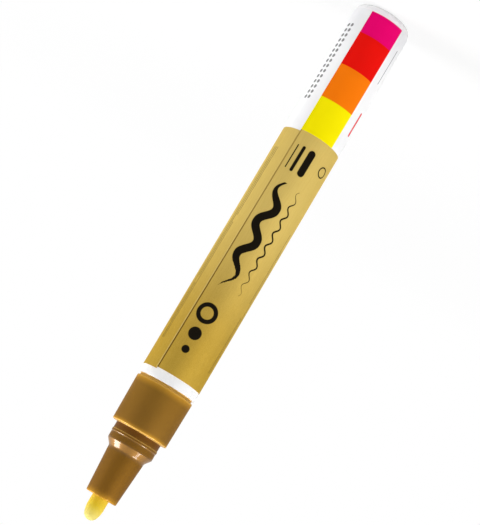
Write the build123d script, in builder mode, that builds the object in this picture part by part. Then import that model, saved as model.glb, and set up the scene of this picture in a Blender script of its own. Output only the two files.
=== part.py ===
from build123d import *
import os
from math import cos, degrees, pi, sin, sqrt

# Paint marker with a felt nib and a pump valve, in millimetres.
# The rear face lies at height zero, and the axis runs up +Z to the nib.

# Barrel
barrel_diameter = 14.0
barrel_length = 98.9
barrel_wall = 0.6
barrel_base = 0.9
heel_radius = 1.9
mouth_chamfer = 0.1

# Label wrapped round the barrel
label_thickness = 0.1
label_rear_margin = 1.95
label_front_margin = 2.3
label_lap = 3.0
label_skew = 0.35
seam_angle = -58.2

# Outside of the front section, from the groove beside the barrel to the tip of the nose
groove_length = 0.6
groove_land = 0.1
collar_length = 11.2
collar_setback = 0.025
collar_taper = 0.2
collar_back_chamfer = 0.15
collar_front_chamfer = 0.25
neck_step = 1.225
neck_length = 3.7
bead_offset = 1.9
bead_width = 0.4
bead_height = 0.1
shoulder_length = 1.7
shoulder_blend = 1.0
nose_length = 11.0
nose_tip_wall = 1.6
nose_draft = 0.74
nose_tip_chamfer = 0.2

# Inside of the front section, and its spigot in the barrel mouth
spigot_length = 7.2
spigot_clearance = 0.2
spigot_lead_share = 0.3
rib_count = 1
rib_width = 0.8
rib_clearance = 0.02
neck_wall = 1.4
step_depth = 1.0
nib_bore_length = 5.0
nib_relief = 0.6

# Nib
nib_diameter = 4.05
nib_reach = 5.5
nib_dome = 3.3
nib_point_radius = 1.7
nib_clearance = 0.1

# Valve housing
housing_diameter = 9.2
housing_wall = 0.7
housing_clearance = 0.05
housing_end_gap = 0.1
front_wall = 1.4
flange_setback = 0.3
flange_thickness = 1.2

# Valve seat
seat_diameter = 6.8
seat_thickness = 1.2
seat_hole = 3.6
seat_bevel = 0.5
seat_clearance = 0.05
seat_gap = 0.05

# Valve stem
stem_reach = 3.1
rod_clearance = 0.15
flute_count = 4
flute_radius = 0.55
head_diameter = 5.4
head_thickness = 0.8
pin_diameter = 2.8
pin_reach = 1.6

# Spring cage
cage_depth = 5.2
cage_wall = 0.5
cage_floor = 1.4
cage_clearance = 0.05
cage_flange_setback = 0.4
cage_flange_thickness = 1.0
pin_clearance = 0.25
hub_margin = 0.2
spoke_count = 4
spoke_width = 0.9

# Valve spring
spring_diameter = 4.0
spring_wire = 0.4
spring_turns = 4
wire_sides = 6
spring_end_gap = 0.03
arcs_per_turn = 4
gap_samples_per_turn = 48

# Mixing ball
ball_diameter = 4.5
ball_wall_gap = 0.3
ball_floor_gap = 0.05

# One overrun for every cut
cut_overrun = 0.5

# Radii that follow from these sizes
barrel_radius = barrel_diameter / 2
chamber_radius = barrel_radius - barrel_wall
label_radius = barrel_radius + label_thickness
spigot_radius = chamber_radius - spigot_clearance
rib_radius = chamber_radius - rib_clearance
groove_radius = chamber_radius + groove_land
collar_back_radius = barrel_radius - collar_setback
collar_front_radius = collar_back_radius - collar_taper
neck_radius = collar_front_radius - neck_step
throat_radius = neck_radius - neck_wall
nib_radius = nib_diameter / 2
nib_bore_radius = nib_radius + nib_clearance
nose_tip_radius = nib_bore_radius + nose_tip_wall
nose_base_radius = nose_tip_radius + nose_draft
relief_radius = nib_bore_radius + nib_relief
housing_radius = housing_diameter / 2
housing_bore_radius = housing_radius - housing_wall
housing_socket_radius = housing_radius + housing_clearance
spigot_lead = spigot_lead_share * (spigot_radius - housing_socket_radius)
flange_radius = spigot_radius - flange_setback
port_radius = seat_hole / 2
seat_radius = seat_diameter / 2
pocket_radius = seat_radius + seat_clearance
rod_radius = port_radius - rod_clearance
head_radius = head_diameter / 2
pin_radius = pin_diameter / 2
cage_radius = housing_bore_radius - cage_clearance
cage_inner_radius = cage_radius - cage_wall
cage_flange_radius = flange_radius - cage_flange_setback
spring_radius = spring_diameter / 2
wire_radius = spring_wire / 2
hub_radius = spring_radius + wire_radius + hub_margin
pin_hole_radius = pin_radius + pin_clearance
ball_radius = ball_diameter / 2

# Heights that follow from these sizes
collar_back = barrel_length + groove_length
collar_front = collar_back + collar_length
neck_end = collar_front + neck_length
nose_base = neck_end + shoulder_length
nose_tip = nose_base + nose_length
nib_tip = nose_tip + nib_reach
nib_bore_rear = nose_tip - nib_bore_length
spigot_rear = barrel_length - spigot_length
housing_step = collar_front - step_depth
housing_front = housing_step - housing_end_gap
seat_top = housing_front - front_wall
seat_bottom = seat_top - seat_thickness
flange_rear = spigot_rear - flange_thickness
stem_front = housing_front + stem_reach
cone_top = seat_bottom + seat_bevel - seat_gap + rod_clearance
cone_bottom = cone_top - (head_radius - rod_radius)
head_back = cone_bottom - head_thickness
cage_floor_top = flange_rear + cage_depth
cage_floor_bottom = cage_floor_top - cage_floor
cage_rear = flange_rear - cage_flange_thickness
pin_end = cage_floor_bottom - pin_reach
spring_start = cage_floor_top + wire_radius + spring_end_gap
spring_end = head_back - wire_radius - spring_end_gap
spring_pitch = (spring_end - spring_start) / spring_turns


def corner(outline, radius, height):
    """The vertex of a turned outline that lies nearest to a radius and a height."""
    return outline.vertices().sort_by_distance((radius, height, 0))[0]


def ridge(radius, height, rise, width):
    """Add to the open outline a pointed ridge that stands out from a radius at a height."""
    foot, top = height - width / 2, height + width / 2
    Polygon((radius, foot), (radius + rise, height), (radius, top), align=None)


# Barrel: a tube with a closed, rounded rear end
with BuildPart() as barrel:
    with BuildSketch(Plane.XZ) as barrel_outline:
        with BuildLine():
            Polyline(
                (0, 0),
                (barrel_radius, 0),
                (barrel_radius, barrel_length),
                (chamber_radius, barrel_length),
                (chamber_radius, barrel_base),
                (0, barrel_base),
                close=True,
            )
        make_face()
        fillet(corner(barrel_outline, barrel_radius, 0), heel_radius)
        chamfer(corner(barrel_outline, chamber_radius, barrel_base), heel_radius - barrel_wall)
        chamfer(corner(barrel_outline, barrel_radius, barrel_length), mouth_chamfer)
    revolve(axis=Axis.Z)

# Label: one turn of film, and the lap that lies over its start a little askew
label_length = barrel_length - label_rear_margin - label_front_margin
lap_angle = degrees(label_lap / label_radius)
with BuildPart() as barrel_label:
    with BuildSketch(Plane.XY.offset(label_rear_margin)):
        Circle(label_radius)
        Circle(barrel_radius, mode=Mode.SUBTRACT)
    extrude(amount=label_length)
    with BuildSketch(Plane.XY.offset(label_rear_margin + label_skew)):
        with BuildLine():
            lap_inside = CenterArc((0, 0), label_radius, seam_angle, lap_angle)
            lap_outside = CenterArc((0, 0), label_radius + label_thickness, seam_angle, lap_angle)
            Line(lap_inside @ 0, lap_outside @ 0)
            Line(lap_inside @ 1, lap_outside @ 1)
        make_face()
    extrude(amount=label_length)

# Front section: ribbed spigot, groove, collar, neck with its cap bead, shoulder and nose in one moulding
with BuildPart() as front_section:
    with BuildSketch(Plane.XZ) as front_outline:
        with BuildLine():
            Polyline(
                (housing_socket_radius, spigot_rear),
                (spigot_radius - spigot_lead, spigot_rear),
                (spigot_radius, spigot_rear + spigot_lead),
                (spigot_radius, barrel_length),
                (groove_radius, barrel_length),
                (groove_radius, collar_back),
                (collar_back_radius, collar_back),
                (collar_front_radius, collar_front),
                (neck_radius, collar_front),
                (neck_radius, neck_end),
                (nose_base_radius, nose_base),
                (nose_tip_radius, nose_tip),
                (nib_bore_radius, nose_tip),
                (nib_bore_radius, nib_bore_rear),
                (relief_radius, nib_bore_rear - nib_relief),
                (relief_radius, nose_base),
                (throat_radius, neck_end),
                (throat_radius, housing_step),
                (housing_socket_radius, housing_step),
                close=True,
            )
        make_face()
        chamfer(corner(front_outline, collar_back_radius, collar_back), collar_back_chamfer)
        chamfer(corner(front_outline, collar_front_radius, collar_front), collar_front_chamfer)
        fillet(corner(front_outline, nose_base_radius, nose_base), shoulder_blend)
        chamfer(corner(front_outline, nose_tip_radius, nose_tip), nose_tip_chamfer)
        ridge(neck_radius, collar_front + bead_offset, bead_height, bead_width)
        for rib in range(rib_count):
            rib_place = spigot_rear + spigot_length * (rib + 1) / (rib_count + 1)
            ridge(spigot_radius, rib_place, rib_radius - spigot_radius, rib_width)
    revolve(axis=Axis.Z)

# Nib: a felt rod with a bullet point of two arcs, which stands on the valve stem
dome_base = nib_tip - nib_dome
dome_rise = nib_dome - nib_point_radius
dome_spread = nib_radius - nib_point_radius
flank_radius = (nib_radius**2 + dome_rise**2 - nib_point_radius**2) / (2 * dome_spread)
join_share = flank_radius / (flank_radius - nib_point_radius)
dome_join = (
    nib_radius - flank_radius + (flank_radius - nib_radius) * join_share,
    dome_base + dome_rise * join_share,
)
with BuildPart() as nib:
    with BuildSketch(Plane.XZ):
        with BuildLine():
            flank = TangentArc((nib_radius, dome_base), dome_join, tangent=(0, 1))
            point = TangentArc(dome_join, (0, nib_tip), tangent=flank % 1)
            Polyline(
                flank @ 0,
                (nib_radius, stem_front),
                (0, stem_front),
                point @ 1,
            )
        make_face()
    revolve(axis=Axis.Z)

# Valve housing: a cup with a port in its front wall and a flange behind the spigot
with BuildPart() as valve_housing:
    with BuildSketch(Plane.XZ):
        with BuildLine():
            Polyline(
                (port_radius, housing_front),
                (housing_radius, housing_front),
                (housing_radius, spigot_rear),
                (flange_radius, spigot_rear),
                (flange_radius, flange_rear),
                (housing_bore_radius, flange_rear),
                (housing_bore_radius, seat_bottom),
                (pocket_radius, seat_bottom),
                (pocket_radius, seat_top),
                (port_radius, seat_top),
                close=True,
            )
        make_face()
    revolve(axis=Axis.Z)

# Valve seat: a rubber ring with a bevel for the cone of the stem
with BuildPart() as valve_seat:
    with BuildSketch(Plane.XZ) as seat_outline:
        with BuildLine():
            Polyline(
                (port_radius, seat_top),
                (seat_radius, seat_top),
                (seat_radius, seat_bottom),
                (port_radius, seat_bottom),
                close=True,
            )
        make_face()
        chamfer(corner(seat_outline, port_radius, seat_bottom), seat_bevel)
    revolve(axis=Axis.Z)

# Valve stem: a fluted rod in front, the sealing cone, and a guide pin inside the spring
with BuildPart() as valve_stem:
    with BuildSketch(Plane.XZ):
        with BuildLine():
            Polyline(
                (0, stem_front),
                (rod_radius, stem_front),
                (rod_radius, cone_top),
                (head_radius, cone_bottom),
                (head_radius, head_back),
                (pin_radius, head_back),
                (pin_radius, pin_end),
                (0, pin_end),
                close=True,
            )
        make_face()
    revolve(axis=Axis.Z)
    with BuildSketch(Plane.XY.offset(cone_top)):
        with PolarLocations(rod_radius, flute_count):
            Circle(flute_radius)
    extrude(amount=stem_front - cone_top + cut_overrun, mode=Mode.SUBTRACT)

# Spring cage: a flanged cup whose floor is a hub on spokes, with windows between them
with BuildPart() as spring_cage:
    with BuildSketch(Plane.XZ):
        with BuildLine():
            Polyline(
                (pin_hole_radius, cage_floor_top),
                (cage_radius, cage_floor_top),
                (cage_radius, flange_rear),
                (cage_flange_radius, flange_rear),
                (cage_flange_radius, cage_rear),
                (cage_inner_radius, cage_rear),
                (cage_inner_radius, cage_floor_bottom),
                (pin_hole_radius, cage_floor_bottom),
                close=True,
            )
        make_face()
    revolve(axis=Axis.Z)
    with BuildSketch(Plane.XY.offset(cage_floor_bottom - cut_overrun)):
        Circle(cage_inner_radius)
        Circle(hub_radius, mode=Mode.SUBTRACT)
        with PolarLocations(0, spoke_count):
            Rectangle(
                cage_inner_radius + cut_overrun,
                spoke_width,
                align=(Align.MIN, Align.CENTER),
                mode=Mode.SUBTRACT,
            )
    extrude(amount=cage_floor + 2 * cut_overrun, mode=Mode.SUBTRACT)


def spring_point(turn):
    """The middle of the spring's wire after a number of turns."""
    angle = 2 * pi * turn
    height = spring_start + spring_pitch * turn
    return Vector(spring_radius * cos(angle), spring_radius * sin(angle), height)


def spring_direction(turn):
    """The direction of the spring's wire after a number of turns."""
    angle = 2 * pi * turn
    run = 2 * pi * spring_radius
    return Vector(-run * sin(angle), run * cos(angle), spring_pitch).normalized()


def biarc(turn, next_turn):
    """Two arcs that join the wire smoothly from one turn to the next."""
    start, end = spring_point(turn), spring_point(next_turn)
    start_direction, end_direction = spring_direction(turn), spring_direction(next_turn)
    chord = end - start
    both = start_direction + end_direction
    spread = 2 * (1 - start_direction.dot(end_direction))
    along = chord.dot(both)
    reach = (sqrt(along * along + spread * chord.dot(chord)) - along) / spread
    start_handle = start + start_direction * reach
    end_handle = end - end_direction * reach
    middle_direction = (end_handle - start_handle).normalized()
    middle = start_handle + middle_direction * reach
    TangentArc(start, middle, tangent=start_direction)
    TangentArc(middle, end, tangent=middle_direction)


# Valve spring: one unbroken wire between the cage and the back of the stem's head
with BuildPart() as valve_spring:
    with BuildLine() as spring_path:
        for arc in range(spring_turns * arcs_per_turn):
            biarc(arc / arcs_per_turn, (arc + 1) / arcs_per_turn)
    with BuildSketch(Plane(origin=spring_point(0), z_dir=spring_direction(0))):
        RegularPolygon(wire_radius, wire_sides)
    sweep(path=spring_path.wires()[0])

# The least gap between neighbouring turns, measured on points along the wire
wire_points = [
    spring_point(sample / gap_samples_per_turn)
    for sample in range(spring_turns * gap_samples_per_turn + 1)
]
half_turn = gap_samples_per_turn // 2
turn_gaps = [
    (wire_points[later] - wire_points[earlier]).length - spring_wire
    for earlier in range(len(wire_points))
    for later in range(earlier + half_turn, len(wire_points))
]
print("valve spring: least gap to itself", round(min(turn_gaps), 3), "mm")

# Mixing ball: a steel ball that lies on the floor of the paint chamber, beside the wall
ball_offset = chamber_radius - ball_wall_gap - ball_radius
ball_height = barrel_base + ball_floor_gap + ball_radius
with BuildPart(Plane((ball_offset, 0, ball_height))) as mixing_ball:
    Sphere(ball_radius)

# Every finished piece goes to a file of its own
pieces = {
    "barrel": barrel,
    "barrel_label": barrel_label,
    "front_section": front_section,
    "nib": nib,
    "valve_housing": valve_housing,
    "valve_seat": valve_seat,
    "valve_stem": valve_stem,
    "valve_spring": valve_spring,
    "spring_cage": spring_cage,
    "mixing_ball": mixing_ball,
}
os.makedirs("parts", exist_ok=True)
for name, piece in pieces.items():
    piece.part.label = name
    export_step(piece.part, f"parts/{name}.step")
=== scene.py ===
from functools import reduce
from math import acos, cos, pi, radians, sin, tan, tau
from operator import or_

import bmesh
import bpy
from bpy.props import FloatProperty, FloatVectorProperty, IntProperty, PointerProperty
from bpy.types import Operator, Panel, PropertyGroup
from mathutils import Matrix, Vector, noise


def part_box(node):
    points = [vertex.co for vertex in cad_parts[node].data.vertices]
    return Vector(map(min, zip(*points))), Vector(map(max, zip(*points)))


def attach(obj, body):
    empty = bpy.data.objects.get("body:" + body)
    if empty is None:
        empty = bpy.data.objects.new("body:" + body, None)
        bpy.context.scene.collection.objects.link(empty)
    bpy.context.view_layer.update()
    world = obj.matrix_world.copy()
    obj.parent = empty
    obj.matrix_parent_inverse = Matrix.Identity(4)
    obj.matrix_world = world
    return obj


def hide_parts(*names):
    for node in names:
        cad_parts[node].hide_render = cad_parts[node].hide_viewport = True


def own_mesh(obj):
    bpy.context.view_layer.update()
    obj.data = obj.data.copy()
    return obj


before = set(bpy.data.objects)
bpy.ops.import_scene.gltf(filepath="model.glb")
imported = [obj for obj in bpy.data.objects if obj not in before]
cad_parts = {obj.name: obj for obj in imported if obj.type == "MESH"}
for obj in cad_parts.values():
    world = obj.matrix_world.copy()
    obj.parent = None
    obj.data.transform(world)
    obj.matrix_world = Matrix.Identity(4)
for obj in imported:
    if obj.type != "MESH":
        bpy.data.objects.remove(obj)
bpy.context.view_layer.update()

bl_info = {
    "name": "Paint marker",
    "version": (1, 0, 0),
    "blender": (4, 5, 0),
    "location": "3D View > Sidebar > Marker",
    "description": "Dresses a felt-nib paint marker round its packed frame",
    "category": "Add Mesh",
}

MM = 0.001

# Linear colours: plain white, the gleam on gold ink and plastic, the felt's sheen and the floor
WHITE = (1.0, 1.0, 1.0, 1.0)
GOLD_GLEAM = (0.8, 0.7, 0.45, 1.0)
PLASTIC_GLEAM = (0.7, 0.5, 0.25, 1.0)
FELT_SHEEN = (1.0, 0.96, 0.75, 1.0)
FLOOR_PALE = (0.74, 0.74, 0.74)
FLOOR_SHADE = (0.68, 0.68, 0.68)

# Limits for the meshes
AXIS_RADIUS = 1e-7  # a point nearer to the axis lies on it
STRAIGHT_HALF = radians(89.5)  # a corner with a larger half angle counts as straight
ROUNDING_SHARE = 0.48  # the most of a side that one rounding may take
SHARP_TURN = radians(38)  # an edge that turns by more stays sharp

# Marks printed on the film, in millimetres: side is the place round the barrel from its front,
# low and high are places along it, half is half a width, and dry is how far streaks break up the
# end of a brush stroke
BRUSH_WAVES = (
    {"side": 0.4, "swing": 1.25, "pitch": 8.6, "low": 47.2, "high": 74.8, "half": 0.95, "dry": 0.5},
    {"side": -3.5, "swing": 0.5, "pitch": 3.4, "low": 47.4, "high": 74.5, "half": 0.2, "dry": 0.0},
)
RED_BAR = {"side": -7.9, "low": 23.7, "high": 29.3, "half": 0.4}
BARS = (
    {"side": 2.5, "low": 38.2, "high": 44.0, "half": 0.14},
    {"side": 1.0, "low": 38.2, "high": 44.0, "half": 0.38},
    {"side": -1.3, "low": 38.6, "high": 43.6, "half": 0.85},
)
RINGS = (
    {"side": 0.4, "run": 81.4, "radius": 1.95, "half": 0.5},
    {"side": -6.2, "run": 40.4, "radius": 1.2, "half": 0.16},
)
DISCS = (
    {"side": 0.4, "run": 86.6, "radius": 1.5},
    {"side": 0.4, "run": 90.6, "radius": 0.9},
)
FINE_RULES = (
    {"side": 7.1, "low": 40, "high": 58, "half": 0.11},
    {"side": 7.1, "low": 60, "high": 90, "half": 0.11},
    {"side": 7.8, "low": 40, "high": 74, "half": 0.11},
    {"side": 7.8, "low": 76, "high": 90, "half": 0.11},
    {"side": 8.5, "low": 40, "high": 86, "half": 0.11},
    {"side": -8.3, "low": 56, "high": 74, "half": 0.11},
    {"side": -8.3, "low": 78, "high": 92, "half": 0.11},
    {"side": -9.0, "low": 60, "high": 92, "half": 0.11},
)
GREY_RULE = {"side": -7.2, "low": 6.6, "high": 15.6, "half": 0.11}
GREY_DOTS = (
    {"side": 7.0, "low": 6.0, "high": 27.0, "pitch": 1.4, "radius": 0.46},
    {"side": 8.4, "low": 6.0, "high": 27.0, "pitch": 1.4, "radius": 0.46},
)


def srgb(red, green, blue):
    """The linear colour of three screen values from 0 to 255."""
    shares = (red / 255, green / 255, blue / 255)
    return tuple(s / 12.92 if s <= 0.04045 else ((s + 0.055) / 1.055) ** 2.4 for s in shares)


def length(name, description, default):
    """A property for a length in metres."""
    return FloatProperty(
        name=name, description=description, default=default, unit="LENGTH", precision=5
    )


def angle(name, description, degrees):
    """A property for an angle, given in degrees."""
    return FloatProperty(
        name=name, description=description, default=radians(degrees), subtype="ANGLE"
    )


def share(name, description, default):
    """A property for a plain number from 0 to 1."""
    return FloatProperty(
        name=name, description=description, default=default, subtype="FACTOR", min=0, max=1
    )


def power(name, description, default):
    """A property for a lamp's power in watts."""
    return FloatProperty(name=name, description=description, default=default, unit="POWER")


def count(name, description, default):
    """A property for a number of steps or turns."""
    return IntProperty(name=name, description=description, default=default, min=2)


def colour(name, description, red, green, blue):
    """A property for a colour, given as screen values."""
    return FloatVectorProperty(
        name=name, description=description, default=srgb(red, green, blue), subtype="COLOR",
        size=3, min=0, max=1,
    )


def top(node):
    """The highest corner of a node of the frame."""
    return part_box(node)[1]


def foot(node):
    """The lowest corner of a node of the frame."""
    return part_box(node)[0]


class MarkerSizes(PropertyGroup):
    """Sizes of the pieces that are made here, with the main ones from the frame"""

    turn_steps: count("Steps per turn", "Faces round each turned piece", 160)
    barrel_radius: length("Barrel radius", "Outside of the tube", top("barrel").x)
    barrel_length: length("Barrel length", "From the rear face to the mouth", top("barrel").z)
    barrel_wall: length("Barrel wall", "Thickness of the tube", 0.6 * MM)
    barrel_base: length("Barrel base", "Thickness of the rear wall", 0.9 * MM)
    heel_radius: length("Heel radius", "Rounding of the rear edge", 1.9 * MM)
    edge_round: length("Edge rounding", "Rounding of small moulded edges", 0.08 * MM)
    label_foot: length("Label foot", "Height of the film's rear edge", foot("barrel_label").z)
    label_top: length("Label top", "Height of the film's front edge", top("barrel_label").z)
    label_rows: count("Label rows", "Faces along the film", 24)
    film: length("Film thickness", "Thickness of the label", 0.1 * MM)
    film_gap: length("Film gap", "Glue between film and barrel", 0.006 * MM)
    lap: length("Lap", "How far the label lies over its own start", 3.0 * MM)
    lap_ramp: length("Lap ramp", "Stretch in which the film comes down off the lap", 0.7 * MM)
    seam_angle: angle("Seam angle", "Place of the lap's edge, from the front", 31.5)
    seam_middle: length("Seam middle", "Height at which the seam angle is taken", 64.7 * MM)
    skew: angle("Skew", "How far the film is wrapped out of true", 0.55)
    groove_radius: length("Groove radius", "Recess between barrel and collar", 6.5 * MM)
    groove_length: length("Groove length", "From the barrel to the collar", 0.6 * MM)
    collar_length: length("Collar length", "Grip collar in front of the groove", 11.2 * MM)
    collar_back: length("Collar back radius", "Radius beside the groove", 6.975 * MM)
    collar_front: length("Collar front radius", "Radius beside the neck", 6.775 * MM)
    collar_back_round: length("Collar back rounding", "Rounding beside the groove", 0.18 * MM)
    collar_front_round: length("Collar front rounding", "Rounding beside the neck", 0.14 * MM)
    neck_fillet: length("Neck fillet", "Hollow between collar and neck", 0.3 * MM)
    neck_radius: length("Neck radius", "Seat of the cap", 5.55 * MM)
    neck_length: length("Neck length", "From the collar to the shoulder", 4.05 * MM)
    bead_offset: length("Bead offset", "From the collar to the cap bead", 2.08 * MM)
    bead_width: length("Bead width", "Foot of the cap bead", 0.7 * MM)
    bead_slope: length("Bead slope", "Slope in front of the cap bead", 0.14 * MM)
    bead_height: length("Bead height", "Rise of the cap bead", 0.1 * MM)
    shoulder_length: length("Shoulder length", "Slope between neck and nose", 1.4 * MM)
    shoulder_round: length("Shoulder rounding", "Edge between neck and slope", 0.2 * MM)
    shoulder_blend: length("Shoulder blend", "Hollow between slope and nose", 1.0 * MM)
    nose_base: length("Nose base radius", "Rear end of the nose", 4.465 * MM)
    nose_tip: length("Nose tip radius", "Front end of the nose", 3.725 * MM)
    nose_round: length("Nose rounding", "Edge of the nose's tip", 0.28 * MM)
    spigot_radius: length("Spigot radius", "Plug in the barrel's mouth", 6.2 * MM)
    spigot_lead: length("Spigot lead", "Bevel at the plug's rear", 0.465 * MM)
    rib_radius: length("Rib radius", "Sealing rib on the plug", 6.38 * MM)
    rib_width: length("Rib width", "Foot of the sealing rib", 0.8 * MM)
    socket_radius: length("Socket radius", "Bore that holds the valve", 4.65 * MM)
    socket_step: length("Socket step", "From the collar's front to the socket's end", 1.0 * MM)
    throat_radius: length("Throat radius", "Bore behind the nose", 4.15 * MM)
    relief_radius: length("Relief radius", "Wide bore behind the nib's guide", 2.725 * MM)
    guide_radius: length("Guide radius", "Bore that guides the nib", 2.125 * MM)
    guide_length: length("Guide length", "From the nose's tip to the relief", 5.0 * MM)
    relief_slope: length("Relief slope", "Slope between guide and relief", 0.6 * MM)
    nib_steps: count("Nib steps", "Faces round the nib", 96)
    nib_radius: length("Nib radius", "Felt rod", top("nib").x)
    nib_dome: length("Nib dome", "Length of the bullet point", 3.3 * MM)
    nib_point: length("Nib point", "Rounding of the bullet's point", 1.7 * MM)
    nib_pale: length("Pale tip", "Stretch in which the nib pales towards its point", 4.0 * MM)
    felt_rise: length("Felt rise", "Height of the felt's unevenness", 0.03 * MM)
    felt_size: length("Felt size", "Size of the felt's unevenness", 0.5 * MM)
    felt_slack: share("Felt slack", "How little the unevenness changes along the rod", 0.35)
    wire_radius: length("Wire radius", "Half the spring wire's diameter", 0.2 * MM)
    coil_radius: length("Coil radius", "Middle of the spring's wire", 2.0 * MM)
    coil_turns: count("Coil turns", "Turns of the spring between its ends", 4)
    spring_foot: length("Spring foot", "Floor that the spring stands on", 95.7 * MM)
    ball_steps: count("Ball steps", "Faces from pole to pole of the ball", 48)


class MarkerPrint(PropertyGroup):
    """Zones of the label's print, and how strongly it shows"""

    gold_edge: length("Gold edge", "Rear edge of the gold zone, beside the lap", 34.2 * MM)
    gold_metal: share("Gold metal", "How metallic the gold ink is", 0.75)
    gold_dull: share("Gold dullness", "Roughness that the gold ink adds to the film's", 0.16)
    # Painted sheen: the gold pales towards the rear end as if lit there
    sheen_start: length("Pale start", "Where the gold begins to pale towards the rear", 92.0 * MM)
    sheen_end: length("Pale end", "Where the gold is palest", 50.0 * MM)
    painted_sheen: share("Paleness", "How far the gold pales", 0.72)
    # Painted shade: the white film greys towards the rear end, broken up by noise
    rear_shade_start: length("Grime start", "Where the film begins to look rubbed", 17.0 * MM)
    rear_shade_end: length("Grime end", "Where the film is most rubbed", 3.0 * MM)
    rear_shade: share("Grime", "How rubbed the film gets towards the rear end", 0.45)
    seam_edge: length("Seam edge", "Width of the film's bright cut edge", 0.2 * MM)
    seam_shade: length("Seam shade", "From the cut edge to the middle of its shade", 0.16 * MM)
    seam_half: length("Seam half width", "Half the width of the cut edge's shade", 0.11 * MM)
    seam_start: length("Seam start", "Where the seam is faintest on the gold", 36.0 * MM)
    seam_end: length("Seam end", "Where the seam is clearest on the gold", 90.0 * MM)
    rule_strength: share("Rule strength", "How dark the fine rules are", 0.6)
    grey_strength: share("Grey strength", "How dark the grey marks are", 0.8)
    blocks_width: length("Blocks width", "Colour blocks, from the lap's edge", 8.65 * MM)
    blocks_foot: length("Blocks foot", "Rear edge of the first colour block", 2.45 * MM)
    block_1_top: length("Block 1 top", "Front edge of the first colour block", 8.1 * MM)
    block_2_top: length("Block 2 top", "Front edge of the second colour block", 16.75 * MM)
    block_3_top: length("Block 3 top", "Front edge of the third colour block", 25.6 * MM)


class MarkerColours(PropertyGroup):
    """Colours of the marker's finishes"""

    lacquer: colour("Lacquer", "Barrel", 247, 247, 248)
    lacquer_shade: colour("Lacquer shade", "Dust on the barrel", 203, 203, 203)
    film_white: colour("Film white", "Bare film of the label", 249, 249, 250)
    # Painted shade colour that the white film takes towards the rear end
    film_rear_shade: colour("Film grime", "Rubbed film towards the rear end", 214, 215, 220)
    gold: colour("Gold ink", "Large zone of the label", 160, 130, 46)
    # Painted sheen colour that the gold takes towards the rear end
    gold_sheen_tint: colour("Pale gold", "Gold zone towards the rear", 208, 184, 108)
    gold_flake: colour("Gold flake", "Bright flakes in the gold ink", 236, 205, 110)
    gold_cloud: colour("Gold cloud", "Uneven patches in the gold ink", 172, 138, 44)
    seam_light: colour("Seam light", "Cut edge of the film on the gold", 240, 226, 170)
    seam_dark: colour("Seam dark", "Shade beside the film's cut edge", 96, 70, 16)
    ink: colour("Black ink", "Printed marks", 22, 18, 12)
    grey_ink: colour("Grey ink", "Fine marks on the white zone", 60, 60, 62)
    red_ink: colour("Red ink", "Short printed bar", 222, 40, 52)
    block_1: colour("Block 1", "Colour block nearest the rear end", 236, 0, 112)
    block_2: colour("Block 2", "Second colour block", 238, 18, 12)
    block_3: colour("Block 3", "Third colour block", 255, 126, 10)
    block_4: colour("Block 4", "Colour block beside the gold", 255, 239, 2)
    plastic: colour("Plastic", "Front section", 119, 85, 30)
    plastic_flow: colour("Plastic flow", "Streaks in the front section", 118, 80, 26)
    plastic_deep: colour("Deep plastic", "Neck and nose", 116, 79, 20)
    # Painted shade at the neck's root under the collar, deepened by the thick plastic there
    plastic_root_shade: colour("Dark plastic", "Thick root of the neck", 86, 48, 6)
    plastic_glow: colour("Plastic glow", "Light inside the ends of collar and nose", 220, 162, 48)
    # Painted light along the thin edges of the front section: glints on the rounded edges and light
    # through the thin plastic
    plastic_edge_light: colour("Plastic rim", "Thin edges of the front section", 226, 182, 96)
    felt: colour("Felt", "Nib where it is soaked", 233, 203, 2)
    felt_fibre: colour("Felt fibre", "Fibres that show in the nib", 220, 178, 4)
    felt_pale: colour("Pale felt", "Tip of the nib", 215, 204, 120)
    valve_white: colour("Valve plastic", "Housing and cage", 232, 232, 224)
    valve_shade: colour("Valve shade", "Streaks in housing and cage", 205, 205, 194)
    stem_grey: colour("Stem plastic", "Valve stem", 206, 208, 210)
    stem_shade: colour("Stem shade", "Streaks in the valve stem", 168, 171, 175)
    rubber: colour("Rubber", "Valve seat", 34, 33, 32)
    rubber_worn: colour("Worn rubber", "Grains of the valve seat", 70, 69, 67)
    steel: colour("Steel", "Spring and ball", 178, 179, 182)
    steel_stain: colour("Steel stain", "Dull patches of spring and ball", 120, 121, 124)


class MarkerPlastic(PropertyGroup):
    """Light inside the front section, and the gleam on it"""

    back_glow: share("Back glow", "Light in the collar's rear edge", 0.5)
    back_reach: length("Back reach", "How far that light goes into the collar", 3.2 * MM)
    front_glow: share("Front glow", "Light in the collar's front edge", 0.42)
    front_reach: length("Front reach", "How far that light goes into the collar", 1.3 * MM)
    tip_glow: share("Tip glow", "Light in the tip of the nose", 0.42)
    tip_reach: length("Tip reach", "How far that light goes into the nose", 2.2 * MM)
    collar_glow: share("Collar glow", "Light all along the collar, most at its rear", 0.06)
    # Painted light on the edges: each paleness stands for a glint and for light through the thin
    # plastic
    back_edge_light: share("Back line", "Paleness of the collar's rear edge", 0.45)
    front_edge_light: share("Front line", "Paleness of the collar's front edge", 0.5)
    bead_edge_light: share("Bead line", "Paleness of the cap bead's rear edge", 0.5)
    groove_light: share("Groove light", "Paleness of the groove behind the collar", 0.6)
    root_shade: share("Root shade", "Darkness of the neck's root", 0.6)
    collar_shine: share("Collar shine", "Gloss of the collar", 0.05)
    rim_shine: share("Rim shine", "Gloss of the collar's front edge", 0.2)
    neck_shine: share("Neck shine", "Gloss of the neck", 0.1)
    bead_shine: share("Bead shine", "Gloss of the cap bead's front", 0.5)
    shoulder_shine: share("Shoulder shine", "Gloss of the shoulder", 0.6)
    nose_shine: share("Nose shine", "Share of the shoulder's gloss that the nose has", 0.1)
    collar_metal: share("Collar metal", "How metallic the collar's shimmer is", 0.5)
    nose_metal: share("Nose metal", "How metallic the neck's and the nose's shimmer is", 0.22)


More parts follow.
